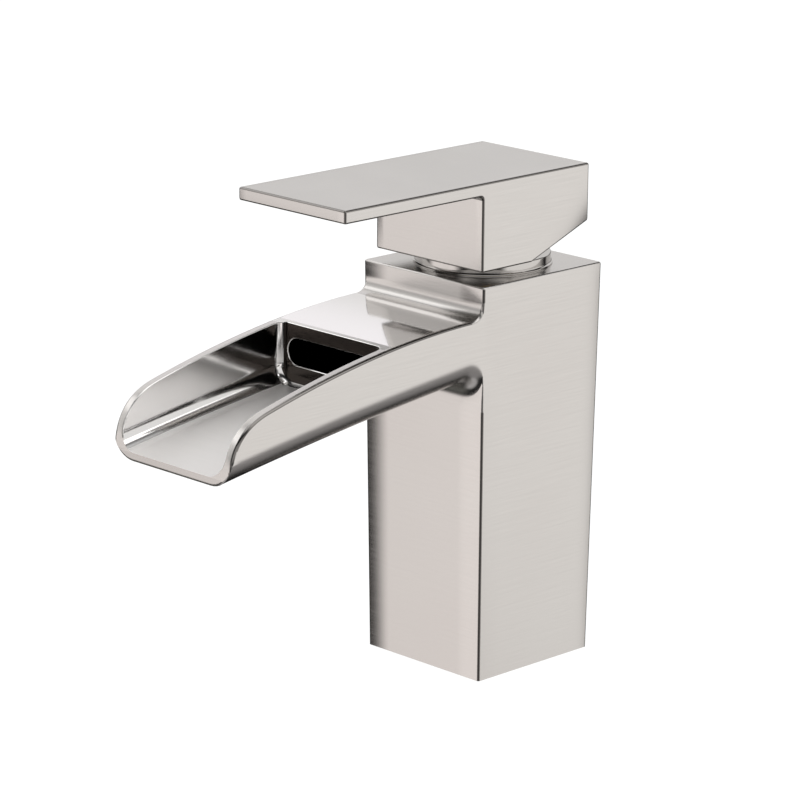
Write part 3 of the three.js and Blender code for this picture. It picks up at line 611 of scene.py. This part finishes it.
def on_soft_corner(at):
    """True on the column's rounded upright edges, but not where the spout covers them."""
    beside_spout = at.y <= 0 and spout_foot - 1.9 * mm < at.z < neck_top + 0.3 * mm
    rounded = min(abs(at.x), abs(at.y)) > column_half(at.z) - 0.7 * mm
    return rounded and at.z < column_height - 0.1 * mm and not beside_spout


dress(
    body,
    brushed_nickel,
    polished_nickel,
    satin_nickel,
    buffed_nickel,
    painted_shade_nickel,
    painted_edge_lines_nickel,
    soft=on_soft_corner,
)
for face in body.data.polygons:
    at, way = face.center, face.normal
    inside = abs(at.x) < trough_half + 0.1 * mm and -reach < at.y < -trough_back + 0.5 * mm
    in_trough = inside and not (way.y < -0.3 and at.y < -reach + 1.2 * mm)
    on_rear = in_trough and way.y < -0.8 and at.y > -trough_back - 1 * mm
    in_slot = (
        abs(at.x) < slot_half + 0.1 * mm
        and -trough_back < at.y < slot_back + 0.1 * mm
        and slot_low - 0.1 * mm < at.z < slot_high + 0.1 * mm
        and abs(way.y) < 0.1
    )
    on_deck = (
        way.z > 0.8
        and -trough_back - 0.4 * mm < at.y < neck_front - neck_round + 0.2 * mm
        and abs(at.x) < profile_half - 0.5 * rim_round
        and at.z > top_of_spout(at.y) - 0.5 * mm
    )
    at_corner = (
        min(abs(at.x), abs(at.y)) > column_half(at.z) - 0.65 * mm
        and at.z < column_height - 0.7 * mm
        and (at.y > 0 or not spout_foot - 1 * mm < at.z < neck_top + 0.3 * mm)
    )
    on_rim = (
        0.2 < abs(way.x) < 0.97
        and abs(at.x) > spout_half - rim_round - 0.05 * mm
        and at.y < neck_front - neck_round
        and at.z > top_of_spout(max(at.y, near - reach)) - 1.1 * mm
    )
    # The rear wall and the slot take the near-black plate: painted shade in the trough's recess.
    if in_slot or on_rear:
        face.material_index = 4
    elif in_trough:
        face.material_index = 2 if way.z > 0.9 else 3
    elif on_deck:
        face.material_index = 1
    # The column's rounded corners and the rim take the darker edge plate: a painted dark reflection
    # along them.
    elif at_corner or on_rim:
        face.material_index = 5
    else:
        face.material_index = 0
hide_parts("faucet_body")
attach(body, "mixer_body")

# ---------------------------------------------------------------------------
# Rubber seals
# Moulded nitrile rings: one in the foot, two under the cartridge, one under the discs, and two
# O-rings. Each lies in its groove and is held by the piece above it.
# ---------------------------------------------------------------------------


def coat(material, *names):
    """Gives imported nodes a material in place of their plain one."""
    for name in names:
        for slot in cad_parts[name].material_slots:
            slot.material = material


# A matt skin with a pale bloom in patches of 6 mm, and a grain of 0.4 mm, coarser than the mould's.
nitrile, tree, place = start_material("moulded_nitrile_rubber")
bloom = add_node(tree, "TexNoise", Vector=place, Scale=1 / (6 * mm), Detail=3.0).outputs["Fac"]
skin = blend(tree, bloom, "#1a1a1b", "#2c2c2d")
dull = add_node(tree, "MapRange", Value=bloom, To_Min=0.5, To_Max=0.75).outputs[0]
grit = add_node(tree, "TexNoise", Vector=place, Scale=1 / (0.4 * mm), Detail=2.0).outputs["Fac"]
grain = add_node(tree, "Bump", Height=grit, Strength=0.2, Distance=0.03 * mm).outputs[0]
rubber = add_node(
    tree, "BsdfPrincipled", Base_Color=skin, Roughness=dull, Normal=grain, IOR=1.52
)
add_node(tree, "OutputMaterial", Surface=rubber.outputs[0])
coat(nitrile, "foot_gasket", "cold_port_seal", "hot_port_seal", "disc_seal")
coat(nitrile, "housing_o_ring", "collar_o_ring")

# ---------------------------------------------------------------------------
# Cartridge mouldings
# Base and disc carrier in grey filled acetal, housing and spindle in white, and a red ring that
# limits the turn to hot. Snapped or stacked together, with the nut over them.
# ---------------------------------------------------------------------------


def acetal(name, tone, streak):
    """Moulded plastic: a soft sheen, upright flow streaks, and a fine spark-eroded grain."""
    material, tree, place = start_material(name)
    drawn = add_node(tree, "Mapping", Vector=place, Scale=(1.0, 1.0, 0.25)).outputs[0]
    flow = add_node(tree, "TexNoise", Vector=drawn, Scale=1 / (3 * mm), Detail=2.0).outputs["Fac"]
    colour = blend(tree, flow, tone, streak)
    sheen = add_node(tree, "MapRange", Value=flow, To_Min=0.32, To_Max=0.46).outputs[0]
    # Real eroded grain is 0.05 mm; this is 0.3 mm, so that it shows.
    pits = add_node(tree, "TexVoronoi", Vector=place, Scale=1 / (0.3 * mm)).outputs["Distance"]
    grain = add_node(tree, "Bump", Height=pits, Strength=0.15, Distance=0.02 * mm).outputs[0]
    plastic = add_node(
        tree, "BsdfPrincipled", Base_Color=colour, Roughness=sheen, Normal=grain, IOR=1.48
    )
    add_node(tree, "OutputMaterial", Surface=plastic.outputs[0])
    return material


coat(acetal("moulded_grey_acetal", "#8a8d91", "#94979b"), "cartridge_base", "disc_carrier")
coat(acetal("moulded_white_acetal", "#e6e4dd", "#efede8"), "cartridge_housing", "spindle")
coat(acetal("moulded_red_acetal", "#ad281f", "#bc3228"), "hot_limit_ring")

# ---------------------------------------------------------------------------
# Ceramic discs
# Two discs of fired alumina, lapped flat so that they seal face to face. The lower one is keyed to
# the base; the carrier drags the upper one over it.
# ---------------------------------------------------------------------------

# Lapping leaves an even gloss; the fired body shows faint cream clouds and dark specks.
alumina, tree, place = start_material("lapped_alumina")
cloud = add_node(tree, "TexNoise", Vector=place, Scale=1 / (5 * mm), Detail=3.0).outputs["Fac"]
speck = add_node(tree, "TexVoronoi", Vector=place, Scale=1 / (1.2 * mm)).outputs["Distance"]
dot = add_node(
    tree, "MapRange", Value=speck, From_Min=0.04, From_Max=0.1, To_Min=0.35, To_Max=0.0
).outputs[0]
fired = blend(tree, cloud, "#f0ece3", "#f7f4ee")
dark = linear("#8c857a")
speckled = add_node(tree, "Mix", {"data_type": "RGBA"}, Factor=dot, _6=fired, _7=dark)
colour = speckled.outputs["Result"]
lapped = add_node(tree, "MapRange", Value=cloud, To_Min=0.12, To_Max=0.2).outputs[0]
stone = add_node(tree, "BsdfPrincipled", Base_Color=colour, Roughness=lapped, IOR=1.76)
add_node(tree, "OutputMaterial", Surface=stone.outputs[0])
coat(alumina, "fixed_ceramic_disc", "moving_ceramic_disc")

# ---------------------------------------------------------------------------
# Retaining nut and lever stem
# Turned from brass bar and left unplated. The nut screws into the column over the cartridge; the
# stem hangs on the pin, with its ball in the carrier and its square in the handle.
# ---------------------------------------------------------------------------


def turned(name, tone, tarnish, pitch, gloss):
    """Bare turned metal: rings left by the tool about the upright axis, and a light tarnish."""
    material, tree, place = start_material(name)
    level = add_node(tree, "SeparateXYZ", Vector=place).outputs["Z"]
    flat = (1, 1, 0)
    across = add_node(tree, "VectorMath", {"operation": "MULTIPLY"}, _0=place, _1=flat).outputs[0]
    radius = add_node(tree, "VectorMath", {"operation": "LENGTH"}, _0=across).outputs["Value"]
    lathe = add_node(tree, "CombineXYZ", X=radius, Y=level).outputs[0]
    rings = add_node(tree, "TexNoise", Vector=lathe, Scale=1 / pitch, Detail=2.0).outputs["Fac"]
    stain = add_node(tree, "TexNoise", Vector=place, Scale=1 / (7 * mm), Detail=3.0).outputs["Fac"]
    colour = blend(tree, stain, tone, tarnish)
    low, high = gloss - 0.08, gloss + 0.08
    shine = add_node(tree, "MapRange", Value=rings, To_Min=low, To_Max=high).outputs[0]
    marks = add_node(tree, "Bump", Height=rings, Strength=0.3, Distance=0.03 * mm).outputs[0]
    metal = add_node(
        tree, "BsdfPrincipled", Base_Color=colour, Metallic=1.0, Roughness=shine, Normal=marks
    )
    add_node(tree, "OutputMaterial", Surface=metal.outputs[0])
    return material


# A lathe's feed is 0.1 mm a turn; these rings are 0.4 mm apart, so that they show.
coat(turned("turned_brass", "#d9b978", "#bd9854", 0.4 * mm, 0.28), "retaining_nut", "lever_stem")

# ---------------------------------------------------------------------------
# Pivot pin and set screw
# Centreless-ground stainless steel. The pin is pressed through the spindle and carries the stem;
# the screw clamps the handle to the stem's square.
# ---------------------------------------------------------------------------

steel = turned("ground_stainless_steel", "#d2d3d5", "#c3c5c8", 0.25 * mm, 0.22)
coat(steel, "pivot_pin", "set_screw")

# ---------------------------------------------------------------------------
# Trim collar
# A turned ring with a flared foot, polished bright. It snaps over the nut on an O-ring.
# ---------------------------------------------------------------------------

collar_low, collar_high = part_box("trim_collar")[0].z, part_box("trim_collar")[1].z
foot_radius, foot_thickness, flare = 18.85 * mm, 0.3 * mm, 0.5 * mm
neck_bore, hollow_radius, roof = 12.6 * mm, 16.25 * mm, 0.7 * mm
collar = start_round("turned_collar", foot_radius, collar_low, collar_high, sides=160)
pick(collar, "FACE", lambda at, way: way.z > 0.9)
bpy.ops.transform.translate(value=(0, 0, collar_low + foot_thickness - collar_high))
level, radius = collar_low + foot_thickness, foot_radius
for turn in spaced(0, pi / 2, 6)[1:]:
    next_level = collar_low + foot_thickness + flare * (1 - cos(turn))
    next_radius = foot_radius - flare * sin(turn)
    bpy.ops.mesh.extrude_region_move(TRANSFORM_OT_translate={"value": (0, 0, next_level - level)})
    widen(next_radius / radius, next_radius / radius)
    level, radius = next_level, next_radius
bpy.ops.mesh.extrude_region_move(TRANSFORM_OT_translate={"value": (0, 0, collar_high - level)})
done()
round_edges(collar, 0.3 * mm, 4, lambda at, way: at.z > collar_high - near)
combine(collar, start_round("collar_bore", neck_bore, collar_low - spare, collar_high + spare))
hollow = start_round("collar_hollow", hollow_radius, collar_low - spare, collar_high - roof)
combine(collar, hollow)
# The two cuts leave a needle between them, which goes.
pick(collar, "FACE", anywhere)
bpy.ops.mesh.dissolve_degenerate(threshold=0.001 * mm)
bpy.ops.mesh.delete_loose(use_faces=False)
done()
turned_nickel = nickel("turned_nickel_plate", "#c6c3c0", "#c0bdba", 0.1, 0.02, 0.05)
dress(collar, turned_nickel)
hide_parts("trim_collar")
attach(collar, "mixer_body")

# ---------------------------------------------------------------------------
# Handle
# One hollow brass casting: a square block over the cartridge with a flat blade forward of it.
# The cut under its rear lets the block clear the collar when the blade is raised.
# ---------------------------------------------------------------------------

half_width, rear, front_y = 20.1 * mm, 19.8 * mm, -20.7 * mm
blade_front = rear - 90.3 * mm
block_low, block_high = 113.0 * mm, 133.5 * mm
handle_top = block_high + 3.6 * mm
wall, blade_root_round, edge_round = 3 * mm, 1 * mm, 0.55 * mm
relief_slope, relief_start = radians(20.9), -1.15 * mm
handle = start_box(
    "blade_and_block", (-half_width, front_y, block_low), (half_width, rear, handle_top)
)
handle.data.materials.append(brushed_nickel)
# The second material, the darker edge plate, paints a dark reflection along every bevel.
handle.data.materials.append(painted_edge_lines_nickel)
split(handle, (0, 0, block_high), (0, 0, 1))
blade = [(front_y, 0), (blade_front, 0)]
draw_out(handle, lambda at, way: way.y < -0.9 and at.z > block_high, blade)


def on_blade_root(at, way):
    return abs(at.y - front_y) < 0.1 * mm and abs(at.z - block_high) < 0.1 * mm


round_edges(handle, blade_root_round, 5, on_blade_root)
pick(handle, "FACE", anywhere)
bpy.ops.mesh.bisect(
    plane_co=(0, relief_start, block_low + 0.3 * mm),
    plane_no=(0, sin(relief_slope), -cos(relief_slope)),
    clear_outer=True,
    use_fill=True,
)
done()
pick(handle, "FACE", anywhere)
bpy.ops.mesh.remove_doubles(threshold=0.001 * mm)
bpy.ops.mesh.dissolve_limited(angle_limit=radians(0.5))
done()
# Strips beside the block's edges, so that only they take the turn of the shading.
split(handle, (half_width - 3 * mm, 0, 0), (1, 0, 0))
split(handle, (3 * mm - half_width, 0, 0), (-1, 0, 0))
split(handle, (0, front_y + 3 * mm, 0), (0, 1, 0))
edges = handle.modifiers.new("edges", "BEVEL")
edges.width, edges.segments = edge_round, 2
edges.limit_method, edges.angle_limit = "ANGLE", radians(15)
edges.material, edges.use_clamp_overlap = 1, False
bpy.context.view_layer.objects.active = handle
bpy.ops.object.modifier_apply(modifier=edges.name)

# The hollow for the nut and the stem, with a boss and a rib that hold the stem and the screw.
ceiling, screw_level = block_low + 15.5 * mm, block_low + 13 * mm
pocket_half, boss_half, rib_half, socket_half = 17.1 * mm, 7.5 * mm, 4 * mm, 4.3 * mm
pocket = start_box(
    "pocket_tool",
    (-pocket_half, front_y + wall, block_low - 4 * mm),
    (pocket_half, rear - wall, ceiling),
)
round_edges(pocket, 2 * mm, 5, lambda at, way: abs(way.z) > 10 * mm)
combine(handle, pocket)
boss = start_box(
    "boss",
    (-boss_half, -boss_half, block_low + 4 * mm),
    (boss_half, boss_half, ceiling + 1 * mm),
)
round_edges(boss, 1 * mm, 4, lambda at, way: abs(way.z) > 5 * mm)
combine(handle, boss, "UNION")
rib = start_box(
    "rib",
    (-rib_half, 0, screw_level - 4 * mm),
    (rib_half, rear - 2 * mm, ceiling + 1 * mm),
)
combine(handle, rib, "UNION")
socket = start_box(
    "socket_tool",
    (-socket_half, -socket_half, block_low),
    (socket_half, socket_half, block_low + 17 * mm),
)
combine(handle, socket)


def start_reach(name, radius, front, back, z, sides=64):
    """A cylinder that lies along the reach of the spout."""
    bpy.ops.object.select_all(action="DESELECT")
    bpy.ops.mesh.primitive_cylinder_add(
        vertices=sides,
        radius=radius,
        depth=back - front,
        location=(0, (front + back) / 2, z),
        rotation=(pi / 2, 0, 0),
    )
    return placed(name)


screw_hole, plug_hole, plug_hole_depth = 2.8 * mm, 4.1 * mm, 2.9 * mm
combine(handle, start_reach("screw_tool", screw_hole, 0, rear + spare, screw_level))
plug_seat = rear - plug_hole_depth
combine(handle, start_reach("plug_tool", plug_hole, plug_seat, rear + spare, screw_level))


def on_block_corner(at):
    """True on the block's rounded upright edges."""
    at_end = at.y < front_y + 0.7 * mm or at.y > rear - 0.7 * mm
    upright = block_low + 1 * mm < at.z < block_high - 1 * mm
    return abs(at.x) > half_width - 0.7 * mm and upright and at_end


dress(handle, brushed_nickel, painted_edge_lines_nickel, soft=on_block_corner)
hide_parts("handle")
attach(handle, "lever")

# ---------------------------------------------------------------------------
# Handle plug
# A plated button pressed into the hole at the rear, over the set screw.
# ---------------------------------------------------------------------------

plug_radius, plug_thickness = 3.8 * mm, 2.6 * mm
plug = start_reach("screw_cover", plug_radius, rear - plug_thickness, rear, screw_level)
round_edges(plug, 0.5 * mm, 4, lambda at, way: at.y > rear - near)
dress(plug, brushed_nickel)
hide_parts("handle_plug")
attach(plug, "lever")
